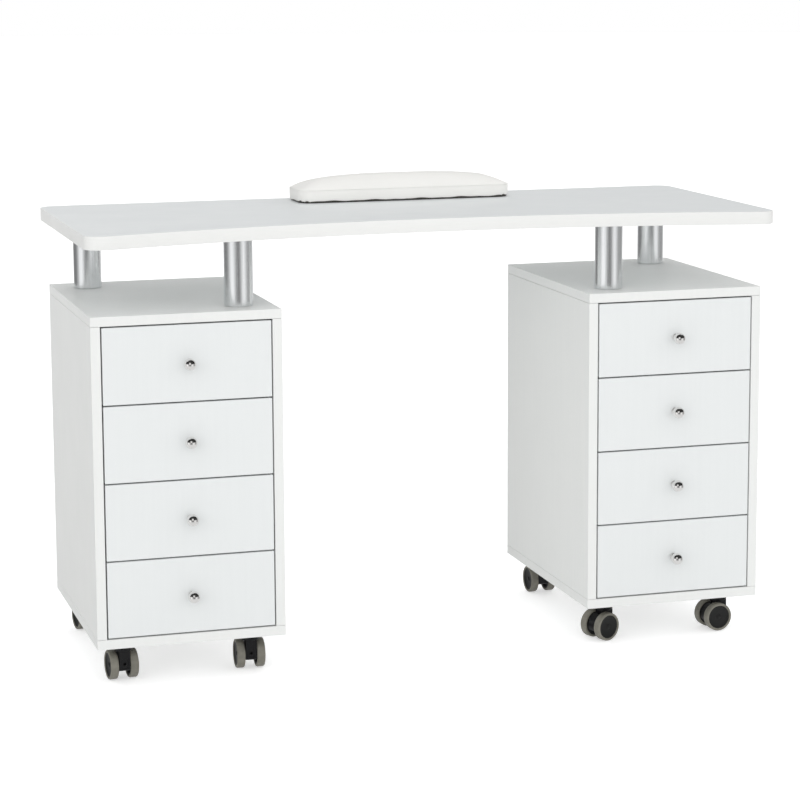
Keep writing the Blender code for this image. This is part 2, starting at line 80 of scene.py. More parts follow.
class Surface:
    """A procedural material, built up from its Principled shader."""

    def __init__(self, name, colour, roughness, metallic=0.0):
        self.material = bpy.data.materials.new(name)
        self.material.use_nodes = True
        self.material.diffuse_color = (*colour, 1.0)
        self.tree = self.material.node_tree
        self.shader = self.tree.nodes["Principled BSDF"]
        self.set("Base Color", (*colour, 1.0))
        self.set("Roughness", roughness)
        self.set("Metallic", metallic)
        self.coordinates = self.tree.nodes.new("ShaderNodeTexCoord")

    def set(self, socket, value):
        self.shader.inputs[socket].default_value = value

    def join(self, output, socket):
        self.tree.links.new(output, socket)

    def noise(self, scale, stretch=(1, 1, 1), detail=3.0):
        mapping = self.tree.nodes.new("ShaderNodeMapping")
        mapping.inputs["Scale"].default_value = stretch
        self.join(self.coordinates.outputs["Object"], mapping.inputs["Vector"])
        noise = self.tree.nodes.new("ShaderNodeTexNoise")
        noise.inputs["Scale"].default_value = scale
        noise.inputs["Detail"].default_value = detail
        self.join(mapping.outputs["Vector"], noise.inputs["Vector"])
        return noise.outputs["Fac"]

    def cells(self, scale):
        voronoi = self.tree.nodes.new("ShaderNodeTexVoronoi")
        voronoi.feature = "F1"
        voronoi.inputs["Scale"].default_value = scale
        self.join(self.coordinates.outputs["Object"], voronoi.inputs["Vector"])
        return voronoi.outputs["Distance"]

    def spread(self, value, low, high, to_low=0.0, to_high=1.0):
        node = self.tree.nodes.new("ShaderNodeMapRange")
        for socket, number in (
            ("From Min", low), ("From Max", high), ("To Min", to_low), ("To Max", to_high)
        ):
            node.inputs[socket].default_value = number
        self.join(value, node.inputs["Value"])
        return node.outputs["Result"]

    def math(self, operation, first, second=None):
        node = self.tree.nodes.new("ShaderNodeMath")
        node.operation = operation
        for socket, value in zip(node.inputs, (first, second)):
            if isinstance(value, (int, float)):
                socket.default_value = value
            elif value is not None:
                self.join(value, socket)
        return node.outputs["Value"]

    def axis(self, letter):
        node = self.tree.nodes.new("ShaderNodeSeparateXYZ")
        self.join(self.coordinates.outputs["Object"], node.inputs["Vector"])
        return node.outputs[letter]

    def blend(self, factor, first, second):
        """A colour between two; each is a colour or another output."""
        node = self.tree.nodes.new("ShaderNodeMix")
        node.data_type = "RGBA"
        self.join(factor, node.inputs["Factor"])
        for socket, value in ((node.inputs[6], first), (node.inputs[7], second)):
            if isinstance(value, tuple):
                socket.default_value = (*value, 1.0)
            else:
                self.join(value, socket)
        return node.outputs[2]

    def colour(self, output):
        self.join(output, self.shader.inputs["Base Color"])

    def roughness(self, output):
        self.join(output, self.shader.inputs["Roughness"])

    def bump(self, height, strength, distance, under=None):
        node = self.tree.nodes.new("ShaderNodeBump")
        node.inputs["Strength"].default_value = strength
        node.inputs["Distance"].default_value = distance
        self.join(height, node.inputs["Height"])
        if under is not None:
            self.join(under, node.inputs["Normal"])
        self.join(node.outputs["Normal"], self.shader.inputs["Normal"])
        return node.outputs["Normal"]


def melamine(name, tint, shade, roughness, grain):
    """White laminate: faint grain in the paper, and the fine orange-peel of the press plate."""
    surface = Surface(name, tint, roughness)
    fibres = surface.noise(1.0, grain, 4.0)
    clouds = surface.noise(3.5, detail=2.0)
    tone = surface.math("MULTIPLY", surface.spread(fibres, 0.32, 0.68), 0.6)
    tone = surface.math("ADD", tone, surface.math("MULTIPLY", surface.spread(clouds, 0.3, 0.7), 0.4))
    surface.colour(surface.blend(tone, tint, shade))
    surface.roughness(surface.spread(surface.noise(14.0), 0.3, 0.7, roughness - 0.05, roughness + 0.06))
    peel = surface.bump(surface.noise(950.0, detail=1.5), 0.10, 0.00025)
    surface.bump(fibres, 0.05, 0.0002, peel)
    surface.set("Specular IOR Level", 0.42)
    return surface


def with_steel(surface, mask, tint, shade):
    """Gives the masked part of a board's surface the look of zinc-plated steel."""
    board_colour = surface.shader.inputs["Base Color"].links[0].from_socket
    board_roughness = surface.shader.inputs["Roughness"].links[0].from_socket
    streaks = surface.spread(surface.noise(1.0, (900, 25, 900), 3.0), 0.3, 0.7)
    surface.colour(surface.blend(mask, board_colour, surface.blend(streaks, tint, shade)))
    steel_roughness = surface.spread(streaks, 0.0, 1.0, 0.28, 0.42)
    gain = surface.math("MULTIPLY", surface.math("SUBTRACT", steel_roughness, board_roughness), mask)
    surface.roughness(surface.math("ADD", board_roughness, gain))
    surface.join(surface.math("MULTIPLY", mask, 0.95), surface.shader.inputs["Metallic"])
    return surface


def from_centre(surface):
    """Distance across, from the middle of either pedestal."""
    across = surface.math("ABSOLUTE", surface.axis("X"))
    return surface.math("ABSOLUTE", surface.math("SUBTRACT", across, PEDESTAL_CENTRE))


def brushed_metal(name, tint, shade, roughness, stretch, scratch=0.05):
    surface = Surface(name, tint, roughness, 1.0)
    lines = surface.noise(1.0, stretch, 5.0)
    spread = surface.spread(lines, 0.3, 0.7)
    surface.colour(surface.blend(spread, tint, shade))
    surface.roughness(surface.spread(lines, 0.3, 0.7, roughness - 0.05, roughness + 0.07))
    surface.bump(lines, scratch, 0.0002)
    return surface


def moulded(name, tint, shade, roughness, grain_scale, grain_depth, clouds=30.0):
    """Moulded plastic or rubber with a fine grain and slightly uneven tone."""
    surface = Surface(name, tint, roughness)
    cloud = surface.noise(clouds, detail=3.0)
    surface.colour(surface.blend(surface.spread(cloud, 0.35, 0.65), tint, shade))
    surface.roughness(surface.spread(cloud, 0.3, 0.7, roughness - 0.06, roughness + 0.06))
    surface.bump(surface.noise(grain_scale, detail=2.0), 0.25, grain_depth)
    return surface


def leatherette(name, tint, shade):
    """Smooth coated fabric: fine cell grain, with a slight dulling in broad patches."""
    surface = Surface(name, tint, 0.42)
    cloud = surface.noise(16.0, detail=3.0)
    surface.colour(surface.blend(surface.spread(cloud, 0.3, 0.7), tint, shade))
    surface.roughness(surface.spread(cloud, 0.3, 0.7, 0.38, 0.50))
    grain = surface.bump(surface.cells(900.0), 0.16, 0.0003)
    surface.bump(surface.noise(160.0, detail=3.0), 0.10, 0.0006, grain)
    surface.set("Sheen Weight", 0.08)
    surface.set("Sheen Roughness", 0.5)
    return surface


def felted(name, tint, shade):
    """Non-woven felt. Its dark colour on the cushion's base is painted shade for the shadow gap under the
    pad.
    """
    surface = Surface(name, tint, 0.9)
    fibres = surface.noise(1.0, (600, 1800, 1800), 4.0)
    surface.colour(surface.blend(surface.spread(fibres, 0.35, 0.65), tint, shade))
    surface.bump(fibres, 0.4, 0.0004)
    surface.set("Sheen Weight", 0.2)
    return surface


TABLETOP_WHITE = melamine(
    "tabletop_melamine", (0.775, 0.80, 0.805), (0.755, 0.78, 0.787), 0.36, (6, 160, 160)
)
EDGE_BAND_WHITE = melamine("edge_band_abs", (0.83, 0.835, 0.82), (0.81, 0.815, 0.80), 0.34, (40, 40, 300))
FRONT_WHITE = melamine(
    "drawer_front_melamine", (0.79, 0.812, 0.812), (0.775, 0.797, 0.797), 0.33, (160, 160, 6)
)
CARCASS_WHITE = melamine(
    "carcass_board_melamine", (0.83, 0.84, 0.825), (0.805, 0.818, 0.805), 0.38, (170, 170, 7)
)
SIDE_WHITE = melamine(
    "carcass_side_melamine", (0.83, 0.84, 0.825), (0.805, 0.818, 0.805), 0.38, (170, 170, 7)
)
with_steel(
    SIDE_WHITE,
    SIDE_WHITE.math("LESS_THAN", from_centre(SIDE_WHITE), SIDE_INNER_FACE - 0.0002),
    (0.62, 0.62, 0.60),
    (0.46, 0.46, 0.45),
)
BOX_WHITE = melamine("drawer_box_foil", (0.74, 0.745, 0.73), (0.70, 0.705, 0.69), 0.48, (160, 8, 160))
with_steel(
    BOX_WHITE,
    BOX_WHITE.math("GREATER_THAN", from_centre(BOX_WHITE), BOX_HALF_WIDTH + 0.0002),
    (0.62, 0.62, 0.60),
    (0.46, 0.46, 0.45),
)
ALUMINIUM = brushed_metal(
    "post_satin_aluminium", (0.90, 0.91, 0.92), (0.80, 0.82, 0.83), 0.22, (1500, 1500, 12)
)
CHROME = brushed_metal("knob_chrome", (0.86, 0.85, 0.84), (0.80, 0.79, 0.78), 0.05, (90, 90, 90), 0.01)
ZINC = brushed_metal("screw_zinc", (0.60, 0.60, 0.58), (0.45, 0.45, 0.44), 0.32, (500, 500, 500))
BLACK_PLASTIC = moulded(
    "caster_black_plastic", (0.004, 0.004, 0.005), (0.008, 0.008, 0.009), 0.36, 1400, 0.0002
)
BLACK_STEEL = moulded(
    "plate_black_steel", (0.014, 0.014, 0.015), (0.024, 0.024, 0.025), 0.42, 2200, 0.0001
)
TREAD = moulded(
    "caster_tread_rubber", (0.225, 0.215, 0.180), (0.175, 0.168, 0.140), 0.52, 1100, 0.0004, 70.0
)
HUB = moulded("caster_hub_plastic", (0.010, 0.011, 0.010), (0.016, 0.016, 0.016), 0.48, 1300, 0.0002)
DULL_GLOSS = 0.26
for dull in (BLACK_PLASTIC, BLACK_STEEL, HUB):
    dull.set("Specular IOR Level", DULL_GLOSS)
NYLON = moulded("roller_nylon", (0.72, 0.71, 0.66), (0.66, 0.65, 0.60), 0.4, 900, 0.0001)
COVER = leatherette("cushion_leatherette", (0.865, 0.86, 0.835), (0.84, 0.835, 0.81))
# Felt for the cushion's base board: its dark colour is painted shade, standing in for the shadow line
# below the pad's lower edge.
CUSHION_BASE_PAINTED_SHADE = felted("cushion_base_painted_shade", (0.055, 0.052, 0.045), (0.035, 0.033, 0.030))


# ---------------------------------------------------------------- mesh helpers


def finish_mesh(name, bm, surface, sharp=35.0):
    bmesh.ops.recalc_face_normals(bm, faces=bm.faces[:])
    mesh = bpy.data.meshes.new(name)
    bm.to_mesh(mesh)
    bm.free()
    mesh.materials.append(surface.material)
    for polygon in mesh.polygons:
        polygon.use_smooth = True
    mesh.set_sharp_from_angle(angle=math.radians(sharp))
    return mesh


def add_piece(name, mesh, body, matrix=None):
    """Puts a mesh in its place, with the place in its vertices, and lets it move with its body."""
    if matrix is not None:
        mesh.transform(matrix)
    piece = bpy.data.objects.new(name, mesh)
    bpy.context.scene.collection.objects.link(piece)
    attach(piece, body)
    return piece


def soften_edges(piece, width, segments=2, angle=32.0):
    bevel = piece.modifiers.new("softened_edges", "BEVEL")
    bevel.width = width
    bevel.segments = segments
    bevel.limit_method = "ANGLE"
    bevel.angle_limit = math.radians(angle)
    bevel.harden_normals = True


def arc(centre, radius, start, end, steps):
    """Points along an arc, both ends included, angles in degrees."""
    points = []
    for i in range(steps + 1):
        angle = math.radians(start + (end - start) * i / steps)
        points.append((centre[0] + radius * math.cos(angle), centre[1] + radius * math.sin(angle)))
    return points


def rounded_rectangle(half_x, half_y, radius, steps):
    points = []
    for quarter, (sx, sy) in enumerate(((1, 1), (-1, 1), (-1, -1), (1, -1))):
        centre = (sx * (half_x - radius), sy * (half_y - radius))
        points += arc(centre, radius, 90 * quarter, 90 * quarter + 90, steps)
    return points


def lathe(bm, profile, sides, matrix=None, closed=False):
    """Turns (radius, height) points about Z. A closed profile makes a ring."""
    rings = []
    for radius, height in profile:
        if radius < 1e-7:
            rings.append([bm.verts.new((0, 0, height))])
            continue
        ring = []
        for i in range(sides):
            angle = 2 * math.pi * i / sides
            ring.append(bm.verts.new((radius * math.cos(angle), radius * math.sin(angle), height)))
        rings.append(ring)
    pairs = list(zip(rings, rings[1:]))
    if closed:
        pairs.append((rings[-1], rings[0]))
    for lower, upper in pairs:
        for i in range(sides):
            j = (i + 1) % sides
            below = [lower[i % len(lower)], lower[j % len(lower)]]
            above = [upper[j % len(upper)], upper[i % len(upper)]]
            corners = list(dict.fromkeys(below + above))
            if len(corners) > 2:
                bm.faces.new(corners)
    if matrix is not None:
        made = [vertex for ring in rings for vertex in ring]
        bmesh.ops.transform(bm, matrix=matrix, verts=made)


def prism(bm, outline, low, high, matrix=None):
    """A flat outline in XY, standing between two heights."""
    lower = [bm.verts.new((x, y, low)) for x, y in outline]
    upper = [bm.verts.new((x, y, high)) for x, y in outline]
    bm.faces.new(lower[::-1])
    bm.faces.new(upper)
    for i in range(len(outline)):
        j = (i + 1) % len(outline)
        bm.faces.new((lower[i], lower[j], upper[j], upper[i]))
    if matrix is not None:
        bmesh.ops.transform(bm, matrix=matrix, verts=lower + upper)


def carve(mesh, cutter):
    """Cuts one closed mesh out of another."""
    body = bpy.data.objects.new("carved", mesh)
    tool = bpy.data.objects.new("cutter", cutter)
    for obj in (body, tool):
        bpy.context.scene.collection.objects.link(obj)
    cut = body.modifiers.new("cut", "BOOLEAN")
    cut.operation = "DIFFERENCE"
    cut.solver = "EXACT"
    cut.object = tool
    graph = bpy.context.evaluated_depsgraph_get()
    carved = bpy.data.meshes.new_from_object(body.evaluated_get(graph))
    bpy.data.objects.remove(body)
    bpy.data.objects.remove(tool)
    return carved


def plain_mesh(bm):
    bmesh.ops.recalc_face_normals(bm, faces=bm.faces[:])
    mesh = bpy.data.meshes.new("shape")
    bm.to_mesh(mesh)
    bm.free()
    return mesh


def screw_head(bm, radius, height, matrix):
    """Pan head with its face towards +Z and a round recess in it."""
    rim, recess = height * 0.25, height * 0.35
    profile = [(0, 0), (radius, 0), (radius, rim)]
    for degrees in (25, 50, 70):
        angle = math.radians(degrees)
        profile.append((radius * math.cos(angle), rim + (height - rim) * math.sin(angle)))
    profile += [(radius * 0.28, height), (radius * 0.22, recess), (0, recess)]
    lathe(bm, profile, 16, matrix)


# ---------------------------------------------------------------- boards and posts of the CAD model


def dress(node, surface, edge, segments=2):
    """Keeps a CAD node's shape, with softly rounded edges and a finished material."""
    obj = NODES[node]
    mesh = obj.data
    for unwanted in ("custom_normal", "sharp_edge"):
        if unwanted in mesh.attributes:
            mesh.attributes.remove(mesh.attributes[unwanted])
    for polygon in mesh.polygons:
        polygon.use_smooth = True
    for slot in obj.material_slots:
        slot.material = surface.material
    weld = obj.modifiers.new("welded", "WELD")
    weld.merge_threshold = 0.00001
    if edge:
        soften_edges(obj, edge, segments)


dress("tabletop", TABLETOP_WHITE, 0.0012, 3)
for side, _ in SIDES:
    dress(f"{side}_top_panel", CARCASS_WHITE, 0.0008)
    dress(f"{side}_bottom_panel", CARCASS_WHITE, 0.0008)
    dress(f"{side}_back_panel", CARCASS_WHITE, 0.0006)
    dress(f"{side}_outer_side_panel", SIDE_WHITE, 0.0006)
    dress(f"{side}_inner_side_panel", SIDE_WHITE, 0.0006)
    dress(f"{side}_front_post", ALUMINIUM, 0.0004)
    dress(f"{side}_back_post", ALUMINIUM, 0.0004)
    for level in range(1, 5):
        dress(f"{side}_drawer_{level}_front", FRONT_WHITE, 0.0009, 3)
        dress(f"{side}_drawer_{level}_box", BOX_WHITE, 0.0004, 1)
# The cushion base's dark colour is painted shade for the shadow gap under the pad.
dress("cushion_base", CUSHION_BASE_PAINTED_SHADE, 0.0008)


# ---------------------------------------------------------------- tabletop edge band

BAND_THICKNESS = 0.0010
BAND_PROUD = 0.00015
BAND_LIFT = 0.00008  # past the tabletop's faces
TABLETOP_CORNER = 0.028
TABLETOP_SCOOP = 0.079  # depth of the concave front edge


def tabletop_outline(offset):
    """Plan of the tabletop, moved outwards by offset."""
    half_length = CAD_HIGH.x
    half_depth = CAD_HIGH.y
    radius, scoop = TABLETOP_CORNER, TABLETOP_SCOOP
    corner_x = half_length - radius
    corner_y = radius - half_depth
    bow = (corner_x**2 + scoop**2) / (2 * scoop) - radius
    bow_y = scoop - half_depth - bow
    turn = math.degrees(math.atan2(corner_y - bow_y, corner_x))
    bend = radius + offset
    points = arc((corner_x, half_depth - radius), bend, 0, 90, 10)
    points += arc((-corner_x, half_depth - radius), bend, 90, 180, 10)
    points += arc((-corner_x, corner_y), bend, 180, 360 - turn, 10)
    points += arc((0, bow_y), bow - offset, 180 - turn, turn, 72)[1:-1]
    points += arc((corner_x, corner_y), bend, 180 + turn, 360, 10)
    return points


def build_edge_band():
    """A strip of ABS round the tabletop, flush with both faces, its outer edges rounded."""
    low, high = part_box("tabletop")
    curve = 0.0009
    section = [(-BAND_THICKNESS, low.z), (BAND_PROUD - curve, low.z)]
    section += arc((BAND_PROUD - curve, low.z + curve), curve, -90, 0, 4)[1:]
    section += arc((BAND_PROUD - curve, high.z - curve), curve, 0, 90, 4)
    section += [(-BAND_THICKNESS, high.z)]
    bm = bmesh.new()
    rings = []
    for offset, z in section:
        shift = BAND_LIFT if z > (low.z + high.z) / 2 else -BAND_LIFT
        rings.append([bm.verts.new((x, y, z + shift)) for x, y in tabletop_outline(offset)])
    for ring, following in zip(rings, rings[1:] + rings[:1]):
        for i in range(len(ring)):
            j = (i + 1) % len(ring)
            bm.faces.new((ring[i], ring[j], following[j], following[i]))
    mesh = finish_mesh("tabletop_edge_band", bm, EDGE_BAND_WHITE, 50)
    add_piece("tabletop_edge_band", mesh, "root")


build_edge_band()


# ---------------------------------------------------------------- knobs

KNOB_RADIUS = 0.01025
KNOB_STAND_OFF = 0.018
KNOB_NECK = 0.0040
KNOB_FOOT = 0.0062


def knob_profile():
    meets_neck = math.degrees(math.asin(KNOB_NECK / KNOB_RADIUS))
    ball = arc((0, KNOB_STAND_OFF), KNOB_RADIUS, 90, meets_neck - 90, 26)
    neck_top = ball[-1][1]
    return [
        (0, KNOB_STAND_OFF + KNOB_RADIUS),
        *ball[1:-1],
        (KNOB_NECK + 0.0004, neck_top + 0.0001),
        (KNOB_NECK, neck_top - 0.0006),
        (KNOB_NECK, 0.0034),
        *arc((KNOB_NECK + 0.0010, 0.0034), 0.0010, 180, 270, 4)[1:],
        (KNOB_FOOT - 0.0006, 0.0023),
        *arc((KNOB_FOOT - 0.0006, 0.0017), 0.0006, 90, 0, 4)[1:],
        (KNOB_FOOT, 0.0003),
        (0.0020, 0.0003),
        (0.0020, -0.0135),
        (0, -0.0140),
    ]


def build_knob(drawer):
    low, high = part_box(f"{drawer}_front")
    middle = Vector(((low.x + high.x) / 2, low.y, (low.z + high.z) / 2))
    place = Matrix.Translation(middle) @ Matrix.Rotation(math.radians(90), 4, "X")
    bm = bmesh.new()
    lathe(bm, knob_profile(), 48, place)
    mesh = finish_mesh(f"{drawer}_knob_ball", bm, CHROME, 40)
    piece = add_piece(f"{drawer}_knob_ball", mesh, drawer)
    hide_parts(f"{drawer}_knob")


for side, _ in SIDES:
    for level in range(1, 5):
        build_knob(f"{side}_drawer_{level}")


# ---------------------------------------------------------------- drawer runners

RUNNER_LEDGE = 0.0015
RUNNER_GAP = 0.0130
ROLLER_RADIUS = 0.0063
ROLLER_WIDTH = 0.0065
SCREW_PLACES = (0.12, 0.5, 0.9)  # shares of a channel's length


def roller(bm, centre, across):
    """A nylon roller on its rivet. across is the sign of X towards the board it is riveted to."""
    half = ROLLER_WIDTH / 2
    edge = 0.0008
    profile = [(0, -half), (ROLLER_RADIUS - edge, -half), (ROLLER_RADIUS, edge - half)]
    profile += [(ROLLER_RADIUS, half - edge), (ROLLER_RADIUS - edge, half), (0.0032, half)]
    profile += [(0.0030, half + 0.0008), (0, half + 0.0012)]
    turn = Matrix.Rotation(math.radians(-90 * across), 4, "Y")
    lathe(bm, profile, 24, Matrix.Translation(centre) @ turn)


def build_runner_rollers():
    for side, sign in SIDES:
        for column, outward in (("outer", sign), ("inner", -sign)):
            bm = bmesh.new()
            screws = bmesh.new()
            board_face = sign * PEDESTAL_CENTRE + outward * SIDE_INNER_FACE
            for level in range(1, 5):
                low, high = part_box(f"{side}_drawer_{level}_box")
                ledge = low.z + RUNNER_LEDGE
                x = board_face - outward * (0.0018 + ROLLER_WIDTH / 2 + 0.0014)
                centre = Vector((x, low.y + 0.010, ledge + RUNNER_GAP / 2))
                roller(bm, centre, -outward)
                for share in SCREW_PLACES:
                    y = low.y + share * (high.y - low.y)
                    place = Matrix.Translation((board_face - outward * 0.0015, y, ledge + 0.0165))
                    place = place @ Matrix.Rotation(math.radians(-90 * outward), 4, "Y")
                    screw_head(screws, 0.0030, 0.0012, place)
            name = f"{side}_{column}_runner_rollers"
            add_piece(name, finish_mesh(name, bm, NYLON), "root")
            name = f"{side}_{column}_runner_screws"
            add_piece(name, finish_mesh(name, screws, ZINC), "root")
        for level in range(1, 5):
            bm = bmesh.new()
            low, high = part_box(f"{side}_drawer_{level}_box")
            for outward in (-1, 1):
                x = sign * PEDESTAL_CENTRE + outward * (BOX_HALF_WIDTH + 0.0012 + ROLLER_WIDTH / 2)
                centre = Vector((x, high.y - 0.010, low.z + RUNNER_LEDGE + RUNNER_GAP / 2))
                roller(bm, centre, -outward)
            name = f"{side}_drawer_{level}_rollers"
            add_piece(name, finish_mesh(name, bm, NYLON), f"{side}_drawer_{level}")


build_runner_rollers()


# ---------------------------------------------------------------- casters

WHEEL_RADIUS = 0.02465
WHEEL_INNER = 0.010
WHEEL_OUTER = 0.024
HUB_RADIUS = 0.0202
AXLE_HEIGHT = 0.024692
TRAIL = 0.010
FORK_HALF = 0.009
PLATE_HALF = 0.021
PLATE_LOW = 0.0645
WHEEL_SEGMENTS = 72
FORK_FRONT = -0.012
FORK_RADIUS = 0.0205
FORK_DROP = 0.0078  # of the underside, below the axle
AXLE_HALF = 0.0125
PLATE_SCREW = 0.0155


def tread_profile():
    """Section of one tread ring, from the hub outwards, as (radius, distance along the axle)."""
    shoulder = 0.0024
    high = WHEEL_RADIUS - shoulder
    section = [(HUB_RADIUS, WHEEL_OUTER - 0.0012), (HUB_RADIUS + 0.0005, WHEEL_OUTER - 0.0003)]
    section += [(high + y, WHEEL_OUTER - shoulder + x) for x, y in arc((0, 0), shoulder, 0, 90, 6)]
    section += [(high + y, WHEEL_INNER + shoulder + x) for x, y in arc((0, 0), shoulder, 90, 180, 6)]
    section += [(HUB_RADIUS + 0.0005, WHEEL_INNER + 0.0003), (HUB_RADIUS, WHEEL_INNER + 0.0012)]
    return section


def hub_profile():
    """A shallow dish with a low rim and a small centre boss on the outer face."""
    face = WHEEL_OUTER - 0.0022
    back = WHEEL_INNER + 0.0015
    return [
        (0, face + 0.0009),
        (0.0030, face + 0.0007),
        (0.0040, face + 0.0001),
        (0.0046, face - 0.0004),
        (0.0160, face - 0.0002),
        (0.0176, face + 0.0004),
        (0.0188, face + 0.0009),
        (HUB_RADIUS - 0.0003, face + 0.0009),
        (HUB_RADIUS + 0.0002, face + 0.0004),
        (HUB_RADIUS + 0.0002, back),
        (0.0180, back),
        (0.0168, back + 0.0030),
        (0.0070, back + 0.0030),
        (0.0060, back - 0.0010),
        (0, back - 0.0010),
    ]


def fork_outline():
    """Side view of the housing as (towards the axle, up)."""
    front, bottom = FORK_FRONT, AXLE_HEIGHT - FORK_DROP
    corner = 0.004
    low_end = -math.degrees(math.asin(FORK_DROP / FORK_RADIUS))
    points = arc((front + corner, bottom + corner), corner, 180, 270, 6)
    points += arc((TRAIL, AXLE_HEIGHT), FORK_RADIUS, low_end, 90, 20)
    points += [(0.012, 0.0515), (0.012, 0.0560), (front, 0.0560)]
    return points


def housing_mesh():
    """The black body between the wheels, with a recessed front and a bore in it."""
    stand = Matrix(((0, 0, 1, 0), (1, 0, 0, 0), (0, 1, 0, 0), (0, 0, 0, 1)))
    bm = bmesh.new()
    prism(bm, fork_outline(), -FORK_HALF, FORK_HALF, stand)
    body = plain_mesh(bm)
    cutter = bmesh.new()
    recess = rounded_rectangle(0.0062, 0.0085, 0.0018, 4)
    to_front = Matrix.Translation((0, FORK_FRONT, 0.0290)) @ Matrix.Rotation(math.radians(90), 4, "X")
    prism(cutter, recess, -0.0012, 0.004, to_front)
    body = carve(body, plain_mesh(cutter))
    bore = bmesh.new()
    lathe(bore, [(0, -0.006), (0.0026, -0.006), (0.0026, 0.004), (0, 0.004)], 24, to_front)
    return carve(body, plain_mesh(bore))


def turret_profile():
    return [
        (0, 0.0510),
        (0.0135, 0.0510),
        (0.0143, 0.0516),
        (0.0145, 0.0524),
        (0.0145, 0.0596),
        (0.0138, 0.0602),
        (0.0138, 0.0612),
        (0.0145, 0.0618),
        (0.0145, 0.0634),
        (0.0141, 0.0641),
        (0.0060, 0.0641),
        (0.0050, 0.0650),
        (0.0050, 0.0780),
        (0.0044, 0.0789),
        (0, 0.0789),
    ]


HOUSING = housing_mesh()


def housing_piece(name, place):
    bm = bmesh.new()
    bm.from_mesh(HOUSING)
    bmesh.ops.remove_doubles(bm, verts=bm.verts[:], dist=0.00001)
    mesh = finish_mesh(name, bm, BLACK_PLASTIC)
    swivel_body = name.replace("_housing_body", "_swivel")
    return add_piece(name, mesh, swivel_body, place)


def build_caster(name):
    swivel, roll = JOINTS[f"{name}_swivel_turn"], JOINTS[f"{name}_wheels_roll"]
    axis = Vector(roll["axis"])
    at = Vector((swivel["pos_m"][0], swivel["pos_m"][1], 0))
    place = Matrix.Translation(at) @ Matrix.Rotation(math.atan2(axis.y, axis.x), 4, "Z")
    axle = place @ Matrix.Translation((0, TRAIL, AXLE_HEIGHT)) @ Matrix.Rotation(math.radians(90), 4, "Y")
    mirrored = axle @ Matrix.Rotation(math.radians(180), 4, "X")
    wheels_body, swivel_body = f"{name}_wheels", f"{name}_swivel"

    bm = bmesh.new()
    for side in (axle, mirrored):
        lathe(bm, tread_profile(), WHEEL_SEGMENTS, side, closed=True)
    mesh = finish_mesh(f"{name}_treads", bm, TREAD, 45)
    treads = add_piece(f"{name}_treads", mesh, wheels_body)
    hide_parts(f"{name}_caster_wheels")

    bm = bmesh.new()
    for side in (axle, mirrored):
        lathe(bm, hub_profile(), WHEEL_SEGMENTS, side)
    add_piece(f"{name}_hubs", finish_mesh(f"{name}_hubs", bm, HUB, 30), wheels_body)

    bm = bmesh.new()
    half = AXLE_HALF
    profile = [(0, -half), (0.0025, -half), (0.0030, 0.0005 - half)]
    profile += [(0.0030, half - 0.0005), (0.0025, half), (0, half)]
    lathe(bm, profile, 24, axle)
    add_piece(f"{name}_axle", finish_mesh(f"{name}_axle", bm, ZINC), wheels_body)

    housing = housing_piece(f"{name}_housing_body", place)
    soften_edges(housing, 0.0009, 2, 40)
    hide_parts(f"{name}_caster_housing")
    bm = bmesh.new()
    lathe(bm, turret_profile(), 40, place)
    mesh = finish_mesh(f"{name}_turret", bm, BLACK_PLASTIC, 30)
    add_piece(f"{name}_turret", mesh, swivel_body)

    bm = bmesh.new()
    to_plate = Matrix.Translation(at)
    outline = rounded_rectangle(PLATE_HALF, PLATE_HALF, 0.004, 5)
    prism(bm, outline, PLATE_LOW, PEDESTAL_UNDERSIDE - 0.0001, to_plate)
    plate = add_piece(f"{name}_plate", finish_mesh(f"{name}_plate", bm, BLACK_STEEL), "root")
    soften_edges(plate, 0.0004)
    bm = bmesh.new()
    face_down = Matrix.Rotation(math.radians(180), 4, "X")
    for x in (-PLATE_SCREW, PLATE_SCREW):
        for y in (-PLATE_SCREW, PLATE_SCREW):
            under = Matrix.Translation(at + Vector((x, y, PLATE_LOW)))
            screw_head(bm, 0.0035, 0.0019, under @ face_down)
    add_piece(f"{name}_plate_screws", finish_mesh(f"{name}_plate_screws", bm, ZINC), "root")


for side, _ in SIDES:
    for row in ("front", "back"):
        for column in ("outer", "inner"):
            build_caster(f"{side}_{row}_{column}")
bpy.data.meshes.remove(HOUSING)


# ---------------------------------------------------------------- wrist cushion

PAD_LOW, PAD_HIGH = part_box("cushion_pad")
PAD_MIDDLE = (PAD_LOW + PAD_HIGH) / 2
PAD_WALL = 0.0165  # height of the upright sides, up to the seam
PAD_SHRINK = 0.0020
PAD_CORNER = 0.024
PAD_CAP = 0.0045  # furthest that filling moves a point
PAD_CLEAR = 0.0005
CROWN_ROUNDNESS = 0.72
CROWN_END_DROP = 0.66
CROWN_END_POWER = 3.2
LIP_DROP = 0.0045
SEAM_RADIUS = 0.0006
SEAM_SIDES = 8


def pad_outline(inset):
    """The pad's outline from above, drawn in by inset, with points along its straight sides too."""
    half_x = (PAD_HIGH.x - PAD_LOW.x) / 2 - PAD_SHRINK - inset
    half_y = (PAD_HIGH.y - PAD_LOW.y) / 2 - PAD_SHRINK - inset
    radius = min(max(PAD_CORNER - inset, 0.004), half_y - 0.0005)
    corners = rounded_rectangle(half_x, half_y, radius, 10)
    points = []
    for index, (x, y) in enumerate(corners):
        points.append((x, y))
        if (index + 1) % (len(corners) // 4) == 0:
            next_x, next_y = corners[(index + 1) % len(corners)]
            pieces = 24 if abs(next_x - x) > abs(next_y - y) else 4
            for step in range(1, pieces):
                share = step / pieces
                points.append((x + share * (next_x - x), y + share * (next_y - y)))
    return points


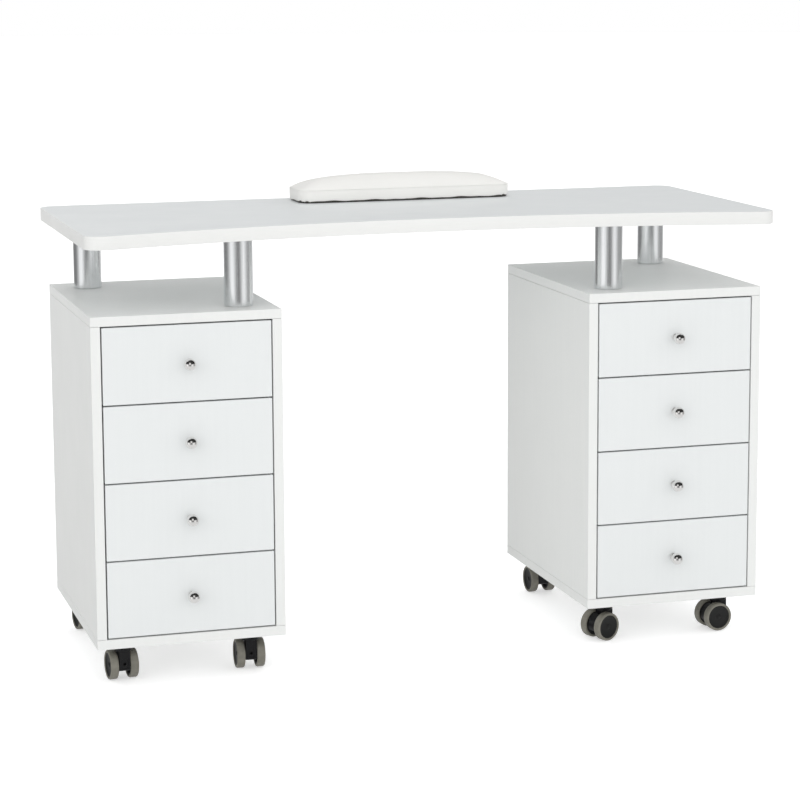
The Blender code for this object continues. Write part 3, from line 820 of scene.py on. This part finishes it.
def pad_start():
    """The unfilled cover: flat below, upright sides, and a top that rises to the middle."""
    half_x = (PAD_HIGH.x - PAD_LOW.x) / 2
    rise = PAD_HIGH.z - PAD_LOW.z - PAD_WALL
    reach = (PAD_HIGH.y - PAD_LOW.y) / 2 - PAD_SHRINK - 0.002
    bm = bmesh.new()
    rings = []
    for height in (0.0, PAD_WALL / 2, PAD_WALL):
        rings.append([(x, y, height) for x, y in pad_outline(0)])
    for step in range(1, 9):
        share = step / 8
        lift = rise * math.sin(math.radians(90 * share)) ** CROWN_ROUNDNESS
        ring = []
        for x, y in pad_outline(reach * share):
            ends = 1 - CROWN_END_DROP * min(1.0, abs(x) / half_x) ** CROWN_END_POWER
            ring.append((x, y, PAD_WALL + lift * ends))
        rings.append(ring)
    rings = [[bm.verts.new(point) for point in ring] for ring in rings]
    for lower, upper in zip(rings, rings[1:]):
        for i in range(len(lower)):
            j = (i + 1) % len(lower)
            bm.faces.new((lower[i], lower[j], upper[j], upper[i]))
    bm.faces.new(rings[0][::-1])
    bm.faces.new(rings[-1])
    return plain_mesh(bm)


def evaluated_copy(obj):
    graph = bpy.context.evaluated_depsgraph_get()
    return bpy.data.meshes.new_from_object(obj.evaluated_get(graph))


def remeshed(mesh, voxel):
    obj = bpy.data.objects.new("remeshed", mesh)
    bpy.context.scene.collection.objects.link(obj)
    remesh = obj.modifiers.new("remesh", "REMESH")
    remesh.mode = "VOXEL"
    remesh.voxel_size = voxel
    result = evaluated_copy(obj)
    bpy.data.objects.remove(obj)
    return result


def inflated(mesh, pinned):
    """Fills the cover with air, holding the pinned points, and limits how far a point may move."""
    obj = bpy.data.objects.new("inflated", mesh)
    bpy.context.scene.collection.objects.link(obj)
    group = obj.vertex_groups.new(name="held")
    for vertex in mesh.vertices:
        group.add([vertex.index], pinned(vertex.co), "REPLACE")
    cloth = obj.modifiers.new("filling", "CLOTH")
    settings = cloth.settings
    settings.quality = 6
    settings.mass = 0.3
    settings.tension_stiffness = 12
    settings.compression_stiffness = 12
    settings.shear_stiffness = 5
    settings.bending_stiffness = 0.6
    settings.use_pressure = True
    settings.uniform_pressure_force = 4
    settings.effector_weights.gravity = 0
    settings.vertex_group_mass = "held"
    cloth.collision_settings.use_collision = False
    for number in range(1, 21):
        bpy.context.scene.frame_set(number)
    result = evaluated_copy(obj)
    for vertex, start in zip(result.vertices, mesh.vertices):
        moved = vertex.co - start.co
        if moved.length > PAD_CAP:
            vertex.co = start.co + moved.normalized() * PAD_CAP
    bpy.data.objects.remove(obj)
    bpy.context.scene.frame_set(1)
    return result


def side_share(point):
    """How far a point lies in from the pad's outline, negative outside it."""
    half_x = (PAD_HIGH.x - PAD_LOW.x) / 2
    half_y = (PAD_HIGH.y - PAD_LOW.y) / 2
    inner_x, inner_y = half_x - PAD_CORNER, half_y - PAD_CORNER
    past_x, past_y = max(abs(point.x) - inner_x, 0), max(abs(point.y) - inner_y, 0)
    if past_x and past_y:
        return PAD_CORNER - math.hypot(past_x, past_y)
    return min(half_x - abs(point.x), half_y - abs(point.y))


def held_share(point):
    if point.z < 0.003:
        return 1.0
    if abs(point.z - PAD_WALL) < 0.0026 and side_share(point) < 0.005:
        return 0.9
    return 0.0


def along_edge(point):
    """Distance round the pad, roughly, for the waves of its lower edge."""
    return point.x + 0.9 * point.y * (1 if point.x > 0 else -1)


def tucked_edge(mesh):
    """Draws the lower edge down over the base board, wavy, with small pulls near both ends."""
    half_x = (PAD_HIGH.x - PAD_LOW.x) / 2
    for vertex in mesh.vertices:
        point = vertex.co
        inset = side_share(point)
        near_edge = min(1.0, max(0.0, 1 - (inset - 0.0035) / 0.0035))
        low_down = min(1.0, max(0.0, 1 - (point.z - 0.001) / 0.009))
        share = near_edge * low_down
        if share <= 0:
            continue
        run = along_edge(point)
        wave = 0.0006 * math.sin(run * 78) + 0.0004 * math.sin(run * 171 + 1.3)
        ends = max(0.0, (abs(point.x) / half_x - 0.80) / 0.20)
        pleat = 0.0009 * ends * math.sin(run * 420)
        point.z -= share * (LIP_DROP + wave)
        pull = share * pleat
        point.x -= math.copysign(pull, point.x)
        point.y -= math.copysign(pull, point.y)


def crown_set(mesh):
    """Stretches or presses the crown to the pad's full height."""
    highest = max(vertex.co.z for vertex in mesh.vertices)
    share = (PAD_HIGH.z - PAD_LOW.z - PAD_CLEAR - PAD_WALL) / (highest - PAD_WALL)
    for vertex in mesh.vertices:
        if vertex.co.z > PAD_WALL:
            vertex.co.z = PAD_WALL + share * (vertex.co.z - PAD_WALL)


def subdivided(mesh):
    obj = bpy.data.objects.new("subdivided", mesh)
    bpy.context.scene.collection.objects.link(obj)
    subdivision = obj.modifiers.new("subdivision", "SUBSURF")
    subdivision.levels = 1
    subdivision.render_levels = 1
    result = evaluated_copy(obj)
    bpy.data.objects.remove(obj)
    return result


def build_cushion():
    mesh = remeshed(pad_start(), 0.004)
    mesh = inflated(mesh, held_share)
    mesh = subdivided(mesh)
    crown_set(mesh)
    tucked_edge(mesh)
    mesh.name = "cushion_cover"
    mesh.materials.clear()
    mesh.materials.append(COVER.material)
    for polygon in mesh.polygons:
        polygon.use_smooth = True
    place = Matrix.Translation((PAD_MIDDLE.x, PAD_MIDDLE.y, PAD_LOW.z))
    pad = add_piece("cushion_cover", mesh, "cushion", place)
    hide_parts("cushion_pad")
    build_seam(place)


def build_seam(place):
    """The sewn joint between the sides and the top: a narrow rolled edge."""
    path = [Vector((x, y, PAD_WALL)) for x, y in pad_outline(0.0001)]
    pairs = list(zip(path, path[1:] + path[:1]))
    path = [point for point, following in pairs if (point - following).length > 1e-5]
    bm = bmesh.new()
    rings = []
    for index, point in enumerate(path):
        ahead = path[(index + 1) % len(path)] - path[index - 1]
        outwards = Vector((ahead.y, -ahead.x, 0)).normalized()
        ring = []
        for step in range(SEAM_SIDES):
            angle = math.radians(360 / SEAM_SIDES * step)
            lift = Vector((0, 0, SEAM_RADIUS * math.sin(angle)))
            ring.append(bm.verts.new(point + outwards * SEAM_RADIUS * math.cos(angle) + lift))
        rings.append(ring)
    for ring, following in zip(rings, rings[1:] + rings[:1]):
        for i in range(SEAM_SIDES):
            j = (i + 1) % SEAM_SIDES
            bm.faces.new((ring[i], ring[j], following[j], following[i]))
    mesh = finish_mesh("cushion_seam", bm, COVER, 60)
    add_piece("cushion_seam", mesh, "cushion", place)


build_cushion()


# ---------------------------------------------------------------- floor, light and camera

FLOOR_RADIUS = 30.0
FLOOR_DROP = 0.0003
FLOOR_GLOW_ON_OBJECT, FLOOR_GLOW_SEEN = 0.06, 0.50


def build_floor():
    """A pale floor. Its glow is stronger to the eye than on the object, so that it looks white."""
    surface = Surface("floor_pale", (0.75, 0.75, 0.75), 0.85)
    cloud = surface.noise(2.0, detail=2.0)
    surface.colour(surface.blend(cloud, (0.76, 0.76, 0.76), (0.74, 0.742, 0.745)))
    surface.set("Specular IOR Level", 0.1)
    surface.set("Emission Color", (1.0, 1.0, 1.0, 1.0))
    seen = surface.tree.nodes.new("ShaderNodeLightPath").outputs["Is Camera Ray"]
    glow = surface.spread(seen, 0, 1, FLOOR_GLOW_ON_OBJECT, FLOOR_GLOW_SEEN)
    surface.join(glow, surface.shader.inputs["Emission Strength"])
    bm = bmesh.new()
    ring = [bm.verts.new((x, y, 0)) for x, y in arc((0, 0), FLOOR_RADIUS, 0, 360, 96)[:-1]]
    bm.faces.new(ring)
    mesh = finish_mesh("floor", bm, surface)
    floor = bpy.data.objects.new("floor", mesh)
    floor.location.z = -FLOOR_DROP
    floor.visible_glossy = False
    bpy.context.scene.collection.objects.link(floor)


# Brightness of the studio by direction: degrees round from the front, towards +X.
# TENT lights the object: its directions are those of a solver that matched the photo's
# brightness, and its levels began with that fit and were changed by hand. STREAKS is what
# reflections see: its levels follow the brightness measured across the posts in the photo.
TENT = (
    (-180, 1.55), (-150, 1.25), (-125, 0.35), (-105, 0.06), (-90, 0.18), (-72, 1.10), (-50, 2.10),
    (-30, 1.17), (-5, 0.99), (40, 1.07), (90, 1.12), (120, 1.50), (150, 2.10), (180, 1.55),
)
STREAKS = (
    (-180, 1.15), (-165, 0.55), (-145, 0.20), (-115, 0.22), (-92, 0.52), (-74, 1.05), (-52, 1.05),
    (-34, 0.48), (-18, 0.20), (-2, 0.22), (16, 0.80), (34, 1.05), (50, 0.68), (66, 0.38), (105, 0.34),
    (130, 0.70), (160, 0.80), (172, 1.15), (180, 1.15),
)
# And by height: -1 is straight down, 0 the horizon and 1 straight up.
TENT_HEIGHT = ((-0.3, 0.70), (0.0, 1.00), (0.15, 1.15), (0.35, 1.15), (0.5, 1.00))
STREAKS_HEIGHT = ((-0.3, 0.95), (0.13, 1.00), (0.20, 0.40), (0.27, 0.06))
TENT_OVERHEAD, STREAKS_OVERHEAD = 0.97, 0.04
TENT_BELOW, STREAKS_BELOW = 0.50, 0.80
KEY_PLACE = Vector((-1.25, -3.9, 2.25))
KEY_TARGET = Vector((0.10, 0.0, 0.42))
KEY_SIZE = 2.4
KEY_POWER = 15.0


def build_world():
    """White to the eye; a soft tent for the light; and soft boxes with darker gaps for reflections."""
    world = bpy.data.worlds.new("studio")
    bpy.context.scene.world = world
    world.use_nodes = True
    tree = world.node_tree
    tree.nodes.clear()

    def node(kind, **settings):
        made = tree.nodes.new(kind)
        for name, value in settings.items():
            setattr(made, name, value)
        return made

    def maths(operation, first, second=None):
        made = node("ShaderNodeMath", operation=operation)
        for socket, value in zip(made.inputs, (first, second)):
            if isinstance(value, (int, float)):
                socket.default_value = value
            elif value is not None:
                tree.links.new(value, socket)
        return made.outputs["Value"]

    def ramp(value, stops):
        made = node("ShaderNodeValToRGB")
        elements = made.color_ramp.elements
        while len(elements) < len(stops):
            elements.new(0.5)
        for element, (place, level) in zip(elements, stops):
            element.position = place
            element.color = (level, level, level, 1)
        tree.links.new(value, made.inputs["Fac"])
        return made.outputs["Color"]

    def mixed(share, first, second, blend="MIX"):
        made = node("ShaderNodeMix", data_type="RGBA", blend_type=blend)
        sockets = (made.inputs["Factor"], made.inputs[6], made.inputs[7])
        for socket, value in zip(sockets, (share, first, second)):
            if isinstance(value, (float, tuple)):
                socket.default_value = value
            else:
                tree.links.new(value, socket)
        return made.outputs[2]

    direction = node("ShaderNodeTexCoord").outputs["Generated"]
    parts = node("ShaderNodeSeparateXYZ")
    tree.links.new(direction, parts.inputs["Vector"])
    azimuth = maths("ARCTAN2", parts.outputs["X"], maths("MULTIPLY", parts.outputs["Y"], -1.0))
    turn = maths("ADD", maths("DIVIDE", azimuth, 2 * math.pi), 0.5)
    height = maths("ADD", maths("MULTIPLY", parts.outputs["Z"], 0.5), 0.5)
    is_over = ramp(height, [(0.68, 0.0), (0.84, 1.0)])
    is_below = ramp(height, [(0.27, 1.0), (0.36, 0.0)])

    def surround(by_turn, by_height, above, below):
        sides = mixed(
            1.0,
            ramp(turn, [(degrees / 360 + 0.5, level) for degrees, level in by_turn]),
            ramp(height, [((z + 1) / 2, level) for z, level in by_height]),
            "MULTIPLY",
        )
        capped = mixed(is_over, sides, (above, above, above, 1))
        background = node("ShaderNodeBackground")
        tree.links.new(mixed(is_below, capped, (below, below, below, 1)), background.inputs["Color"])
        return background.outputs["Background"]

    def choose(share, first, second):
        mix = node("ShaderNodeMixShader")
        tree.links.new(share, mix.inputs["Fac"])
        tree.links.new(first, mix.inputs[1])
        tree.links.new(second, mix.inputs[2])
        return mix.outputs["Shader"]

    white = node("ShaderNodeBackground")
    white.inputs["Color"].default_value = (1, 1, 1, 1)
    rays = node("ShaderNodeLightPath").outputs
    tent = surround(TENT, TENT_HEIGHT, TENT_OVERHEAD, TENT_BELOW)
    streaks = surround(STREAKS, STREAKS_HEIGHT, STREAKS_OVERHEAD, STREAKS_BELOW)
    lit = choose(rays["Is Glossy Ray"], tent, streaks)
    seen = choose(rays["Is Camera Ray"], lit, white.outputs["Background"])
    tree.links.new(seen, node("ShaderNodeOutputWorld").inputs["Surface"])


def build_key_light():
    area = bpy.data.lights.new("key", "AREA")
    area.shape = "SQUARE"
    area.size = KEY_SIZE
    area.energy = KEY_POWER
    area.color = (1.0, 0.995, 0.985)
    key = bpy.data.objects.new("key", area)
    bpy.context.scene.collection.objects.link(key)
    key.location = KEY_PLACE
    key.rotation_euler = (KEY_TARGET - KEY_PLACE).to_track_quat("-Z", "Y").to_euler()
    key.visible_camera = False


# The camera's place and angles come from a fit of the CAD model's corners to the photo.
CAMERA_PLACE = Vector((-1.2345, -4.1401, 1.2022))
CAMERA_YAW, CAMERA_PITCH, CAMERA_ROLL = 0.2886, -0.1527, -0.0051
CAMERA_LENS = 112.62
CAMERA_SHIFT = -0.0875


def build_camera():
    ahead = Vector((
        math.sin(CAMERA_YAW) * math.cos(CAMERA_PITCH),
        math.cos(CAMERA_YAW) * math.cos(CAMERA_PITCH),
        math.sin(CAMERA_PITCH),
    ))
    right = Vector((math.cos(CAMERA_YAW), -math.sin(CAMERA_YAW), 0))
    up = right.cross(ahead)
    turned_right = math.cos(CAMERA_ROLL) * right + math.sin(CAMERA_ROLL) * up
    turned_up = math.cos(CAMERA_ROLL) * up - math.sin(CAMERA_ROLL) * right
    data = bpy.data.cameras.new("camera")
    data.sensor_width = 36
    data.lens = CAMERA_LENS
    data.shift_y = CAMERA_SHIFT
    data.clip_end = 100
    camera = bpy.data.objects.new("camera", data)
    bpy.context.scene.collection.objects.link(camera)
    rotation = Matrix((turned_right, turned_up, -ahead)).transposed().to_4x4()
    camera.matrix_world = Matrix.Translation(CAMERA_PLACE) @ rotation
    bpy.context.scene.camera = camera


build_floor()
build_world()
build_key_light()
build_camera()
bpy.context.scene.view_settings.view_transform = "Standard"
